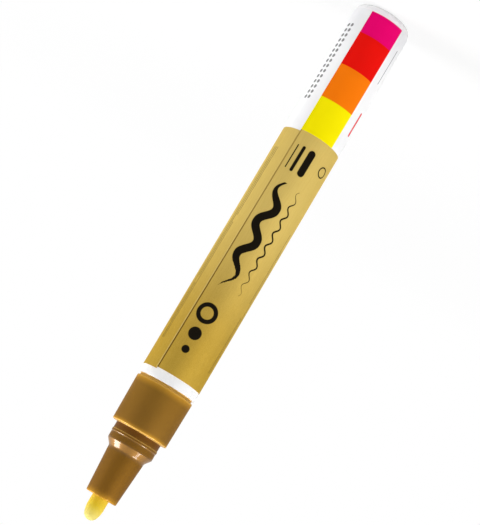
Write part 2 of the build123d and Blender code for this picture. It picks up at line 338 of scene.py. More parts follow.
class MarkerStage(PropertyGroup):
    """Camera, lamps and floor"""

    lens: FloatProperty(name="Lens", description="Focal length in millimetres", default=120.0)
    camera_distance: length("Camera distance", "From the marker's axis, forwards", 0.388)
    camera_height: length("Camera height", "Above the floor", 0.1313)
    camera_side: length("Camera side", "From the marker's axis, sideways", 0.00002)
    aim_height: length("Aim height", "Where the camera looks at the axis", 0.0664)
    roll: angle("Roll", "Turn of the camera about its own line of sight", 210.65)
    floor_radius: length("Floor radius", "Size of the pale floor", 0.32)
    floor_drop: length("Floor drop", "How far the floor lies below the rear face", 0.02 * MM)
    shadow_radius: length("Shadow radius", "Part of the floor that keeps the shadow", 0.08)
    floor_glow: share("Floor glow", "How far the shadowed floor shows as plain white", 0.85)
    lamp_size: length("Lamp size", "Side of each square lamp", 0.2)
    lamp_distance: length("Lamp distance", "From the marker to each lamp", 0.5)
    lamp_rise: angle("Lamp rise", "Height of the lamps over the marker", 50)
    right_turn: angle("Right turn", "Right lamp, turned from the camera's side", 65)
    left_turn: angle("Left turn", "Left lamp, turned from the camera's side", -98)
    right_power: power("Right lamp", "Power of the right lamp", 1.6)
    left_power: power("Left lamp", "Power of the left lamp", 2.1)
    glint_power: power("Glint", "Power of each lamp that only glossy surfaces show", 6.5)
    fill: share("Fill", "Light that comes from all round", 0.47)


# Shader nodes


class Value:
    """A socket that takes part in sums: each sum on values adds its Math node."""

    def __init__(self, finish, socket):
        self.finish = finish
        self.socket = socket

    def __add__(self, other):
        return self.finish.math("ADD", self, other)

    __radd__ = __add__

    def __sub__(self, other):
        return self.finish.math("SUBTRACT", self, other)

    def __rsub__(self, other):
        return self.finish.math("SUBTRACT", other, self)

    def __mul__(self, other):
        return self.finish.math("MULTIPLY", self, other)

    __rmul__ = __mul__

    def __truediv__(self, other):
        return self.finish.math("DIVIDE", self, other)

    def __rtruediv__(self, other):
        return self.finish.math("DIVIDE", other, self)

    def __or__(self, other):
        return self.finish.math("MAXIMUM", self, other)

    __ror__ = __or__

    def __and__(self, other):
        return self.finish.math("MINIMUM", self, other)

    __rand__ = __and__

    def __neg__(self):
        return self.finish.math("MULTIPLY", self, -1.0)

    def __abs__(self):
        return self.finish.math("ABSOLUTE", self)


class Finish:
    """A material or a world, and the nodes that make it."""

    def __init__(self, owner):
        owner.use_nodes = True
        self.owner = owner
        self.tree = owner.node_tree
        self.tree.nodes.clear()

    def node(self, kind, settings=None, inputs=None, output=0):
        """Add a node, set it up, feed its sockets and hand back one of its outputs."""
        node = self.tree.nodes.new(kind)
        for key, setting in (settings or {}).items():
            setattr(node, key, setting)
        for key, value in (inputs or {}).items():
            if isinstance(value, Value):
                self.tree.links.new(value.socket, node.inputs[key])
            else:
                node.inputs[key].default_value = value
        return Value(self, node.outputs[output]) if node.outputs else None

    def math(self, operation, *operands):
        """A Math node on numbers and values."""
        return self.node("ShaderNodeMath", {"operation": operation}, dict(enumerate(operands)))

    def distance(self, across, along):
        """The length of the line with these two sides."""
        return self.math("SQRT", across * across + along * along)

    def place(self):
        """The point of the surface in millimetres, as three values."""
        point = self.node("ShaderNodeTexCoord", output="Object")
        parts = [
            self.node("ShaderNodeSeparateXYZ", inputs={"Vector": point}, output=axis)
            for axis in "XYZ"
        ]
        return [part * (1 / MM) for part in parts]

    def ramp(self, value, start, end, low=0.0, high=1.0):
        """A smooth change from low to high as the value goes from start to end."""
        return self.node(
            "ShaderNodeMapRange",
            {"interpolation_type": "SMOOTHSTEP"},
            {"Value": value, "From Min": start, "From Max": end, "To Min": low, "To Max": high},
        )

    def near(self, value, place, full, none):
        """One up to a distance full from a place, and zero from a distance none on."""
        return self.ramp(abs(value - place), none, full)

    def mix(self, factor, first, second):
        """A colour between two, each a tuple or a value."""
        first, second = (
            tint if isinstance(tint, Value) else (*tint, 1.0) for tint in (first, second)
        )
        return self.node(
            "ShaderNodeMix", {"data_type": "RGBA"}, {0: factor, 6: first, 7: second}, output=2
        )

    def grain(self, scale, detail=2.0, stretch=(1, 1, 1)):
        """Noise from 0 to 1, with its size in millimetres and a stretch along each axis."""
        point = self.node("ShaderNodeTexCoord", output="Object")
        squeezed = self.node(
            "ShaderNodeMapping",
            inputs={"Vector": point, "Scale": tuple(1 / (scale * MM * s) for s in stretch)},
        )
        return self.node(
            "ShaderNodeTexNoise", inputs={"Vector": squeezed, "Scale": 1.0, "Detail": detail}
        )

    def bump(self, height, depth):
        """A normal that follows a height from 0 to 1, with its depth in millimetres."""
        return self.node(
            "ShaderNodeBump", inputs={"Height": height, "Distance": depth * MM, "Strength": 1.0}
        )

    def surface(self, **sockets):
        """Close the material with a Principled surface, its sockets named in lower case."""
        inputs = {
            name.replace("_", " ").title().replace("Ior", "IOR"): value
            for name, value in sockets.items()
        }
        shader = self.node("ShaderNodeBsdfPrincipled", inputs=inputs)
        self.node("ShaderNodeOutputMaterial", inputs={"Surface": shader})
        return self.owner


class Film:
    """Places on the wrapped label in millimetres, and shapes printed there: one where there is ink.

    side and run are places round the barrel from its front and along the film. wrap goes round from
    the seam, around is a whole turn of it, and climb is how far the print rises in that turn.
    """

    # Blur at the edge of each shape
    soft_edge = 0.07
    # Shares of a brush stroke's length in which it widens, narrows and dries
    widening, narrowing, drying = 0.22, 0.352, 0.55
    # Shares of its full width that a brush stroke has at its start and its end
    start_width, end_width = 0.25, 0.15
    # Streaks of a drying brush: their size, how far they are drawn out, and the level above which
    # they take ink away
    streak_size, streak_draw, streak_level = 0.22, 9, 0.4

    def __init__(self, finish, sizes):
        x, y, z = finish.place()
        radius = (sizes.barrel_radius + sizes.film) / MM
        slope = tan(sizes.skew)
        lean = (z - sizes.seam_middle / MM) * slope
        self.finish = finish
        self.around = tau * radius
        self.climb = self.around * slope
        self.side = finish.math("ARCTAN2", x, -y) * radius - lean
        turns = (self.side - sizes.seam_angle * radius) / self.around
        self.wrap = finish.math("FRACT", turns) * self.around
        self.run = z + self.wrap * slope

    def inside(self, distance):
        """One where a distance in millimetres is below zero."""
        return self.finish.ramp(distance, self.soft_edge, -self.soft_edge)

    def beyond(self, low, high):
        """The distance along the film from a stretch, below zero within it."""
        return abs(self.run - (low + high) / 2) - (high - low) / 2

    def disc(self, side, run, radius):
        """A round spot."""
        return self.inside(self.finish.distance(self.side - side, self.run - run) - radius)

    def ring(self, side, run, radius, half):
        """A circle of a given line width."""
        reach = self.finish.distance(self.side - side, self.run - run)
        return self.inside(abs(reach - radius) - half)

    def bar(self, side, low, high, half):
        """A straight line along the barrel, with round ends."""
        along = self.beyond(low, high) | 0.0
        return self.inside(self.finish.distance(self.side - side, along) - half)

    def dots(self, side, low, high, pitch, radius):
        """A row of spots along the barrel."""
        along = (self.finish.math("FRACT", (self.run - low) / pitch) - 0.5) * pitch
        spots = self.inside(self.finish.distance(self.side - side, along) - radius)
        return spots * self.inside(self.beyond(low, high))

    def wave(self, side, swing, pitch, low, high, half, dry):
        """A brush stroke that winds along the barrel, thin at its ends and dry at the last."""
        finish, run, extent = self.finish, self.run, high - low
        sway = (run - low) * (tau / pitch)
        middle = finish.math("SINE", sway) * swing + side
        steep = finish.math("COSINE", sway) * (swing * tau / pitch)
        across = abs(self.side - middle) / finish.distance(steep, 1.0)
        start = finish.ramp(run, low, low + extent * self.widening, half * self.start_width, half)
        end = finish.ramp(run, high, high - extent * self.narrowing, half * self.end_width, half)
        dryness = finish.ramp(run, high - extent * self.drying, high, 0.0, dry)
        streak = finish.grain(self.streak_size, stretch=(1, 1, self.streak_draw))
        rough = (streak - self.streak_level) * dryness
        return self.inside(across - (start & end) + rough) * self.inside(self.beyond(low, high))


def new_finish(name):
    """A new material, ready for its nodes."""
    return Finish(bpy.data.materials.new(name))


def union(masks):
    """One where any of the masks is one."""
    return reduce(or_, masks)


# Meshes


def rounded(corners, closed, steps=6):
    """An outline's points: each corner (radius, height, rounding) becomes a short arc."""
    points = []
    corner_count = len(corners)
    for index, (radius, height, rounding) in enumerate(corners):
        here = Vector((radius, height))
        at_end = not closed and index in (0, corner_count - 1)
        before = Vector(corners[index - 1][:2]) - here
        after = Vector(corners[(index + 1) % corner_count][:2]) - here
        half = before.angle(after) / 2
        if at_end or rounding <= 0 or half > STRAIGHT_HALF:
            points.append(here)
            continue
        reach = min(rounding / tan(half), ROUNDING_SHARE * min(before.length, after.length))
        inward = (before.normalized() + after.normalized()).normalized()
        middle = here + inward * (reach * tan(half) / sin(half))
        start = here + before.normalized() * reach - middle
        end = here + after.normalized() * reach - middle
        sweep = start.angle_signed(end)
        for step in range(steps + 1):
            spoke = start.copy()
            spoke.rotate(Matrix.Rotation(-sweep * step / steps, 2))
            points.append(middle + spoke)
    return points


def bridge(shape, lower, upper):
    """Add the faces between two rings of points, of which one may be a single point repeated."""
    steps = len(lower)
    for step in range(steps):
        following = (step + 1) % steps
        loop = [lower[step], lower[following], upper[following], upper[step]]
        corners = list(dict.fromkeys(loop))
        if len(corners) > 2:
            shape.faces.new(corners)


def turned(outline, closed, steps):
    """A bmesh of an outline turned about the upright axis."""
    shape = bmesh.new()
    rings = []
    for radius, height in outline:
        if radius < AXIS_RADIUS:
            rings.append([shape.verts.new((0, 0, height))] * steps)
            continue
        rings.append([
            shape.verts.new((radius * cos(tau * s / steps), radius * sin(tau * s / steps), height))
            for s in range(steps)
        ])
    pairs = list(zip(rings, rings[1:]))
    if closed:
        pairs.append((rings[-1], rings[0]))
    for lower, upper in pairs:
        bridge(shape, lower, upper)
    return shape


def new_piece(name, shape, finish, body, slot, *nodes):
    """Turn a bmesh into a smooth piece with its finish and body, in place of frame nodes. The slot
    is not used.
    """
    bmesh.ops.recalc_face_normals(shape, faces=shape.faces)
    mesh = bpy.data.meshes.new(name)
    shape.to_mesh(mesh)
    shape.free()
    mesh.shade_smooth()
    mesh.set_sharp_from_angle(angle=SHARP_TURN)
    mesh.materials.append(finish)
    piece = bpy.data.objects.new(name, mesh)
    bpy.context.scene.collection.objects.link(piece)
    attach(piece, body)
    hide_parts(*nodes)
    return piece


# Finishes


def lacquer_finish(colours):
    """White satin lacquer with the faint waviness of a sprayed coat."""
    finish = new_finish("barrel_lacquer")
    dust = finish.grain(2.5, detail=3.0)
    peel = finish.grain(0.35)
    dusty = finish.ramp(dust, 0.35, 0.75, high=0.06)
    return finish.surface(
        base_color=finish.mix(dusty, colours.lacquer, colours.lacquer_shade),
        roughness=finish.ramp(dust, 0.3, 0.7, low=0.24, high=0.34),
        normal=finish.bump(peel, depth=0.004),
        coat_weight=0.3,
        coat_roughness=0.08,
    )


def black_marks(film, printing):
    """Where the gold carries black ink: brush strokes, bars, rings, discs and fine rules."""
    marks = [film.wave(**wave) for wave in BRUSH_WAVES]
    marks += [film.bar(**bar) for bar in BARS]
    marks += [film.ring(**ring) for ring in RINGS]
    marks += [film.disc(**disc) for disc in DISCS]
    marks.append(union(film.bar(**rule) for rule in FINE_RULES) * printing.rule_strength)
    return union(marks)


def gold_ink(film, colours, printing):
    """Flaky gold with a painted sheen that pales it towards the rear, with the film's cut edge and
    the shade beside it.
    """
    finish, run = film.finish, film.run
    flaky = finish.ramp(finish.grain(0.12, detail=3.0), 0.3, 0.7, high=0.16)
    cloudy = finish.ramp(finish.grain(5.0, stretch=(1, 1, 3)), 0.35, 0.7, high=0.14)
    # Painted sheen that pales the gold towards the rear end
    sheen_start, sheen_end = printing.sheen_start / MM, printing.sheen_end / MM
    painted_sheen = finish.ramp(run, sheen_start, sheen_end, high=printing.painted_sheen)
    seam_start, seam_end = printing.seam_start / MM, printing.seam_end / MM
    edge = film.inside(film.wrap - printing.seam_edge / MM)
    edge = edge * finish.ramp(run, seam_start, seam_end, low=0.04, high=0.2)
    shade_middle = film.around - printing.seam_shade / MM
    shade = film.inside(abs(film.wrap - shade_middle) - printing.seam_half / MM)
    shade = shade * finish.ramp(run, seam_start, seam_end, low=0.4, high=1.0)
    gold = finish.mix(flaky, colours.gold, colours.gold_flake)
    gold = finish.mix(cloudy, gold, colours.gold_cloud)
    gold = finish.mix(painted_sheen, gold, colours.gold_sheen_tint)
    gold = finish.mix(edge, gold, colours.seam_light)
    return finish.mix(shade, gold, colours.seam_dark)


def white_film(film, colours, printing):
    """Bare film that a painted shade greys towards the rear end, with colour blocks, a red bar and
    grey marks.
    """
    finish, run = film.finish, film.run
    # Painted shade that greys the white film towards the rear end, broken up by the smear noise
    rear_shade_start, rear_shade_end = printing.rear_shade_start / MM, printing.rear_shade_end / MM
    rear_shaded = finish.ramp(run, rear_shade_start, rear_shade_end, high=printing.rear_shade)
    smear = finish.ramp(finish.grain(3.0, detail=3.0), 0.25, 0.65, low=0.6, high=1.0)
    blocks = colours.block_1
    for edge, tint in (
        (printing.block_1_top, colours.block_2),
        (printing.block_2_top, colours.block_3),
        (printing.block_3_top, colours.block_4),
    ):
        blocks = finish.mix(film.inside(edge / MM - run), blocks, tint)
    in_blocks = film.inside(film.around - printing.blocks_width / MM - film.wrap)
    in_blocks = in_blocks * film.inside(printing.blocks_foot / MM - run)
    grey = union([film.bar(**GREY_RULE), *(film.dots(**row) for row in GREY_DOTS)])
    ground = finish.mix(rear_shaded * smear, colours.film_white, colours.film_rear_shade)
    ground = finish.mix(in_blocks, ground, blocks)
    ground = finish.mix(film.bar(**RED_BAR), ground, colours.red_ink)
    return finish.mix(grey * printing.grey_strength, ground, colours.grey_ink)


def label_finish(colours, sizes, printing):
    """Printed film: white ground, satin gold zone, colour blocks and plain motifs."""
    finish = new_finish("label_film")
    film = Film(finish, sizes)
    gold_zone = film.inside(printing.gold_edge / MM + film.climb - film.run)
    marks = black_marks(film, printing)
    gold = finish.mix(marks, gold_ink(film, colours, printing), colours.ink)
    scuff = finish.grain(0.25, detail=3.0, stretch=(1, 1, 12))
    satin = finish.ramp(scuff, 0.3, 0.75, low=0.33, high=0.47)
    return finish.surface(
        base_color=finish.mix(gold_zone, white_film(film, colours, printing), gold),
        metallic=gold_zone * (1 - marks) * printing.gold_metal,
        roughness=satin + gold_zone * printing.gold_dull,
        normal=finish.bump(finish.grain(0.5), depth=0.003),
        specular_ior_level=0.04,
        specular_tint=GOLD_GLEAM,
    )


def plastic_finish(colours, sizes, plastic):
    """Ochre moulding whose colour paints the light let through its thin edges, glints on those
    edges and the shade at the neck's root, and which gleams on its shoulder.
    """
    finish = new_finish("ochre_plastic")
    z = finish.place()[2]
    back = (sizes.barrel_length + sizes.groove_length) / MM
    front = back + sizes.collar_length / MM
    waist = front + sizes.neck_length / MM
    nose = waist + sizes.shoulder_length / MM
    tip = top("front_section").z / MM
    bead_rear = front + (sizes.bead_offset - sizes.bead_width / 2) / MM
    bead_front = bead_rear + sizes.bead_width / MM

    in_groove = finish.ramp(z, back + 0.02, back - 0.05)
    on_collar = finish.ramp(z, front + 0.06, front - 0.02)
    back_glow = finish.ramp(z, back + plastic.back_reach / MM, back - 0.3)
    front_glow = finish.ramp(z, front - plastic.front_reach / MM, front)
    tip_glow = finish.ramp(z, tip - plastic.tip_reach / MM, tip + 0.2)
    glow = union([
        back_glow * back_glow * plastic.back_glow,
        front_glow * front_glow * on_collar * plastic.front_glow,
        tip_glow * tip_glow * plastic.tip_glow,
        finish.ramp(z, front - 2.0, back, high=plastic.collar_glow),
    ])
    # Painted light: pale lines at the collar's rear and front edges and at the cap bead's rear
    # edge, and a pale groove, standing for glints and light through the thin plastic
    edge_light = union([
        finish.ramp(z, back + 0.6, back, high=plastic.back_edge_light),
        finish.near(z, front, full=0.1, none=0.26) * plastic.front_edge_light,
        finish.near(z, bead_rear + 0.04, full=0.06, none=0.14) * plastic.bead_edge_light,
    ])
    edge_light = edge_light * (1 - in_groove) + in_groove * plastic.groove_light
    # Painted shade where the collar overhangs the neck's root, deepened by the thick plastic there
    neck_root_shade = finish.ramp(z, front + 0.1, front + 0.25, high=plastic.root_shade)
    neck_root_shade = neck_root_shade * finish.ramp(z, front + 1.75, front + 1.1)
    shine = union([
        finish.ramp(z, front, front + 0.1, low=plastic.collar_shine, high=plastic.neck_shine),
        finish.near(z, front + 0.05, full=0.15, none=0.3) * plastic.rim_shine,
        finish.near(z, bead_front, full=0.15, none=0.3) * plastic.bead_shine,
        finish.ramp(z, waist - 0.5, waist, low=plastic.collar_shine, high=plastic.shoulder_shine),
    ])
    shine = shine * finish.ramp(z, nose + 0.9, nose + 0.1, low=plastic.nose_shine, high=1.0)
    metal = finish.ramp(z, front + 0.05, front, low=plastic.nose_metal, high=plastic.collar_metal)

    flow = finish.grain(3.0, stretch=(1, 1, 2.5))
    scratch = finish.grain(0.18, detail=3.0, stretch=(1, 1, 14))
    ripple = finish.grain(1.6, detail=1.0)
    streaks = finish.ramp(flow, 0.35, 0.7, high=0.12)
    tint = finish.mix(streaks, colours.plastic, colours.plastic_flow)
    tint = finish.mix(1 - on_collar, tint, colours.plastic_deep)
    tint = finish.mix(glow, tint, colours.plastic_glow)
    tint = finish.mix(edge_light, tint, colours.plastic_edge_light)
    return finish.surface(
        base_color=finish.mix(neck_root_shade, tint, colours.plastic_root_shade),
        metallic=metal * (1 - edge_light),
        roughness=finish.ramp(scratch, 0.35, 0.8, low=0.54, high=0.64),
        normal=finish.bump(ripple, depth=0.002),
        coat_weight=shine,
        coat_roughness=0.1,
        specular_ior_level=0.08,
        specular_tint=PLASTIC_GLEAM,
    )


def felt_finish(colours, sizes):
    """Pressed fibre, soaked with paint and paler towards the point."""
    finish = new_finish("nib_felt")
    z = finish.place()[2]
    tip = top("nib").z / MM
    fibre = finish.grain(0.13, detail=3.0, stretch=(1, 1, 5))
    pore = finish.grain(0.3, detail=3.0)
    fibrous = finish.ramp(fibre, 0.35, 0.7, high=0.35)
    worn = finish.ramp(z, tip - sizes.nib_pale / MM, tip - 0.1, high=0.7)
    porous = finish.ramp(pore, 0.5, 0.8, high=0.2)
    tint = finish.mix(fibrous, colours.felt, colours.felt_fibre)
    tint = finish.mix(worn, tint, colours.felt_pale)
    return finish.surface(
        base_color=finish.mix(porous, tint, colours.felt_pale),
        roughness=finish.ramp(fibre, 0.3, 0.7, low=0.78, high=0.95),
        normal=finish.bump(fibre * 0.6 + pore * 0.4, depth=0.03),
        specular_ior_level=0.33,
        sheen_weight=0.62,
        sheen_roughness=0.3,
        sheen_tint=FELT_SHEEN,
    )


def moulded_finish(name, tint, shade):
    """Plain moulded plastic with a faint speckle and flow."""
    finish = new_finish(name)
    speckle = finish.grain(0.4, detail=3.0)
    flow = finish.grain(3.0, detail=1.0, stretch=(1, 1, 3))
    return finish.surface(
        base_color=finish.mix(finish.ramp(flow, 0.3, 0.75, high=0.25), tint, shade),
        roughness=finish.ramp(speckle, 0.3, 0.7, low=0.38, high=0.52),
        normal=finish.bump(speckle, depth=0.004),
    )


def rubber_finish(colours):
    """Matte black rubber with a fine grain."""
    finish = new_finish("seal_rubber")
    grit = finish.grain(0.12, detail=3.0)
    worn = finish.ramp(grit, 0.4, 0.8, high=0.3)
    return finish.surface(
        base_color=finish.mix(worn, colours.rubber, colours.rubber_worn),
        roughness=finish.ramp(grit, 0.3, 0.7, low=0.7, high=0.9),
        normal=finish.bump(grit, depth=0.008),
    )


def steel_finish(name, colours, bright, dull, stretch=(1, 1, 1)):
    """Steel with fine drawn or polished marks, between two roughnesses."""
    finish = new_finish(name)
    mark = finish.grain(0.09, detail=3.0, stretch=stretch)
    stained = finish.ramp(finish.grain(1.2), 0.4, 0.8, high=0.3)
    return finish.surface(
        base_color=finish.mix(stained, colours.steel, colours.steel_stain),
        metallic=1.0,
        roughness=finish.ramp(mark, 0.3, 0.7, low=bright, high=dull),
        normal=finish.bump(mark, depth=0.002),
    )


# Operators


class MARKER_OT_barrel(Operator):
    """Make the lacquered tube with its closed, rounded rear end"""

    bl_idname = "marker.barrel"
    bl_label = "Barrel"

    def execute(self, context):
        sizes, colours = context.scene.marker_sizes, context.scene.marker_colours
        outside, end = sizes.barrel_radius, sizes.barrel_length
        inside = outside - sizes.barrel_wall
        corners = [
            (0, 0, 0),
            (outside, 0, sizes.heel_radius),
            (outside, end, sizes.edge_round),
            (inside, end, sizes.edge_round),
            (inside, sizes.barrel_base, sizes.heel_radius - sizes.barrel_wall),
            (0, sizes.barrel_base, 0),
        ]
        outline = rounded(corners, closed=False, steps=12)
        shape = turned(outline, closed=False, steps=sizes.turn_steps)
        finish = lacquer_finish(colours)
        new_piece("barrel_tube", shape, finish, "body", "barrel_lacquer", "barrel")
        return {"FINISHED"}


class MARKER_OT_label(Operator):
    """Wrap the printed film round the barrel, with its lap a little out of true"""

    bl_idname = "marker.label"
    bl_label = "Label"

    def execute(self, context):
        sizes, colours = context.scene.marker_sizes, context.scene.marker_colours
        radius = sizes.barrel_radius + sizes.film_gap
        lap_turn = sizes.lap / radius
        ramp_turn = sizes.lap_ramp / radius
        ramp_steps = 6
        last = tau + lap_turn
        turns = {last * step / sizes.turn_steps for step in range(sizes.turn_steps + 1)}
        turns |= {lap_turn + ramp_turn * step / ramp_steps for step in range(ramp_steps + 1)}
        shape = bmesh.new()
        columns = []
        for turn in sorted(turns):
            down = min(max((turn - lap_turn) / ramp_turn, 0.0), 1.0)
            rise = sizes.film * (1 - down * down * (3 - 2 * down))
            columns.append(self.column(shape, sizes, radius + rise, turn))
        for left, right in zip(columns, columns[1:]):
            for row in range(sizes.label_rows):
                for face in (0, 1):
                    shape.faces.new([
                        left[row][face], right[row][face], right[row + 1][face], left[row + 1][face]
                    ])
            for row in (0, -1):
                shape.faces.new([left[row][0], right[row][0], right[row][1], left[row][1]])
        for column in (columns[0], columns[-1]):
            for lower, upper in zip(column, column[1:]):
                shape.faces.new([lower[0], lower[1], upper[1], upper[0]])
        finish = label_finish(colours, sizes, context.scene.marker_print)
        new_piece("label_wrap", shape, finish, "body", "label_film", "barrel_label")
        return {"FINISHED"}

    def column(self, shape, sizes, inner, turn):
        """The film's points at one place round the barrel: inner and outer, from foot to top."""
        slope = tan(sizes.skew)
        low, high = sizes.label_foot, sizes.label_top
        outer = inner + sizes.film - sizes.film_gap
        fall = turn * sizes.barrel_radius * slope
        pairs = []
        for row in range(sizes.label_rows + 1):
            height = low + (high - low) * row / sizes.label_rows - fall
            height = min(max(height, low), high)
            lean = (height - sizes.seam_middle) * slope / sizes.barrel_radius
            around = sizes.seam_angle + turn + lean
            pairs.append([
                shape.verts.new((reach * sin(around), -reach * cos(around), height))
                for reach in (inner, outer)
            ])
        return pairs


class MARKER_OT_front_section(Operator):
    """Turn the ochre moulding: spigot, collar, neck with its cap bead, shoulder and nose"""

    bl_idname = "marker.front_section"
    bl_label = "Front section"

    def execute(self, context):
        sizes, colours = context.scene.marker_sizes, context.scene.marker_colours
        edge = sizes.edge_round
        rear, tip = foot("front_section").z, top("front_section").z
        mouth = sizes.barrel_length
        collar = mouth + sizes.groove_length
        front = collar + sizes.collar_length
        neck_end = front + sizes.neck_length
        nose_base = neck_end + sizes.shoulder_length
        bead_rear = front + sizes.bead_offset - sizes.bead_width / 2
        bead_end = bead_rear + sizes.bead_width
        bead_radius = sizes.neck_radius + sizes.bead_height
        rib = (rear + mouth) / 2
        guide_rear = tip - sizes.guide_length
        socket_end = front - sizes.socket_step
        corners = [
            (sizes.socket_radius, rear, edge),
            (sizes.spigot_radius - sizes.spigot_lead, rear, edge),
            (sizes.spigot_radius, rear + sizes.spigot_lead, edge),
            (sizes.spigot_radius, rib - sizes.rib_width / 2, edge),
            (sizes.rib_radius, rib, edge),
            (sizes.spigot_radius, rib + sizes.rib_width / 2, edge),
            (sizes.spigot_radius, mouth, edge),
            (sizes.groove_radius, mouth, 0),
            (sizes.groove_radius, collar, edge),
            (sizes.collar_back, collar, sizes.collar_back_round),
            (sizes.collar_front, front, sizes.collar_front_round),
            (sizes.neck_radius, front, sizes.neck_fillet),
            (sizes.neck_radius, bead_rear, 0),
            (bead_radius, bead_rear, edge / 2),
            (bead_radius, bead_end - sizes.bead_slope, edge),
            (sizes.neck_radius, bead_end, edge),
            (sizes.neck_radius, neck_end, sizes.shoulder_round),
            (sizes.nose_base, nose_base, sizes.shoulder_blend),
            (sizes.nose_tip, tip, sizes.nose_round),
            (sizes.guide_radius, tip, edge),
            (sizes.guide_radius, guide_rear, edge),
            (sizes.relief_radius, guide_rear - sizes.relief_slope, edge),
            (sizes.relief_radius, nose_base, edge),
            (sizes.throat_radius, neck_end, edge),
            (sizes.throat_radius, socket_end, edge),
            (sizes.socket_radius, socket_end, edge),
        ]
        shape = turned(rounded(corners, closed=True), closed=True, steps=sizes.turn_steps)
        finish = plastic_finish(colours, sizes, context.scene.marker_plastic)
        new_piece("front_moulding", shape, finish, "body", "ochre_plastic", "front_section")
        return {"FINISHED"}


class MARKER_OT_nib(Operator):
    """Make the felt nib with its bullet point and uneven fibres"""

    bl_idname = "marker.nib"
    bl_label = "Nib"

    def execute(self, context):
        sizes, colours = context.scene.marker_sizes, context.scene.marker_colours
        rear, tip = foot("nib").z, top("nib").z
        radius, point, edge = sizes.nib_radius, sizes.nib_point, sizes.edge_round
        base = tip - sizes.nib_dome
        rise = sizes.nib_dome - point
        flank = (radius**2 + rise**2 - point**2) / (2 * (radius - point))
        turn = acos((flank - radius) / (flank - point))
        shaft_steps, flank_steps, point_steps = 40, 16, 10
        outline = [(0, rear), (radius - edge, rear), (radius, rear + edge)]
        outline += [(radius, rear + (base - rear) * s / shaft_steps) for s in range(1, shaft_steps)]
        for step in range(flank_steps):
            lean = turn * step / flank_steps
            outline.append((radius - flank + flank * cos(lean), base + flank * sin(lean)))
        for step in range(point_steps):
            lean = turn + (pi / 2 - turn) * step / point_steps
            outline.append((point * cos(lean), tip - point + point * sin(lean)))
        outline.append((0, tip))
        shape = turned(outline, closed=False, steps=sizes.nib_steps)
        for vertex in shape.verts:
            if vertex.co.z > rear + radius:
                vertex.co += self.felt_sink(vertex.co, base, sizes)
        new_piece("nib_rod", shape, felt_finish(colours, sizes), "nib", "nib_felt", "nib")
        return {"FINISHED"}

    def felt_sink(self, place, base, sizes):
        """How far the felt sinks in at a place, with bumps drawn out along the rod."""
        spread = Vector((place.x, place.y, place.z * sizes.felt_slack)) / sizes.felt_size
        out = Vector((place.x, place.y, max(place.z - base, 0.0))).normalized()
        return out * (noise.noise(spread) - 1.0) * (sizes.felt_rise / 2)


class MARKER_OT_valve(Operator):
    """Give the housing, seat, stem and cage of the pump valve their finishes"""

    bl_idname = "marker.valve"
    bl_label = "Valve"

    def execute(self, context):
        colours = context.scene.marker_colours
        white = moulded_finish("valve_plastic", colours.valve_white, colours.valve_shade)
        grey = moulded_finish("stem_plastic", colours.stem_grey, colours.stem_shade)
        finishes = {
            "valve_housing": white,
            "spring_cage": white,
            "valve_stem": grey,
            "valve_seat": rubber_finish(colours),
        }
        for name, finish in finishes.items():
            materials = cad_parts[name].data.materials
            materials.clear()
            materials.append(finish)
        return {"FINISHED"}


class MARKER_OT_valve_spring(Operator):
    """Wind the valve spring, which shortens as the stem is pressed"""

    bl_idname = "marker.valve_spring"
    bl_label = "Valve spring"

    def execute(self, context):
        sizes, colours = context.scene.marker_sizes, context.scene.marker_colours
        wire, coil, turns = sizes.wire_radius, sizes.coil_radius, sizes.coil_turns
        low, high = foot("valve_spring").z + wire, top("valve_spring").z - wire
        climb = (high - low) / (tau * turns)
        sides, per_turn = 12, 40
        shape = bmesh.new()
        loops = []
        for step in range(turns * per_turn + 1):
            turn = tau * step / per_turn
            out = Vector((cos(turn), sin(turn), 0))
            along = Vector((-coil * sin(turn), coil * cos(turn), climb)).normalized()
            across = along.cross(out)
            middle = out * coil + Vector((0, 0, low + climb * turn))
            spokes = [
                out * cos(tau * s / sides) + across * sin(tau * s / sides) for s in range(sides)
            ]
            loops.append([shape.verts.new(middle + spoke * wire) for spoke in spokes])
        for lower, upper in zip(loops, loops[1:]):
            bridge(shape, lower, upper)
        shape.faces.new(loops[0])
        shape.faces.new(loops[-1])
        finish = steel_finish("spring_steel", colours, bright=0.26, dull=0.42, stretch=(1, 1, 0.3))
        spring = new_piece("valve_coil", shape, finish, "body", "spring_steel", "valve_spring")
        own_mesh(spring)
        return {"FINISHED"}


class MARKER_OT_mixing_ball(Operator):
    """Make the polished ball that stirs the paint"""

    bl_idname = "marker.mixing_ball"
    bl_label = "Mixing ball"

    def execute(self, context):
        steps, colours = context.scene.marker_sizes.ball_steps, context.scene.marker_colours
        low, high = foot("mixing_ball"), top("mixing_ball")
        radius = (high.z - low.z) / 2
        outline = [
            (radius * sin(pi * step / steps), -radius * cos(pi * step / steps))
            for step in range(steps + 1)
        ]
        shape = turned(outline, closed=False, steps=2 * steps)
        bmesh.ops.translate(shape, verts=shape.verts, vec=(low + high) / 2)
        finish = steel_finish("ball_steel", colours, bright=0.06, dull=0.16)
        new_piece("steel_ball", shape, finish, "mixing_ball", "ball_steel", "mixing_ball")
        return {"FINISHED"}


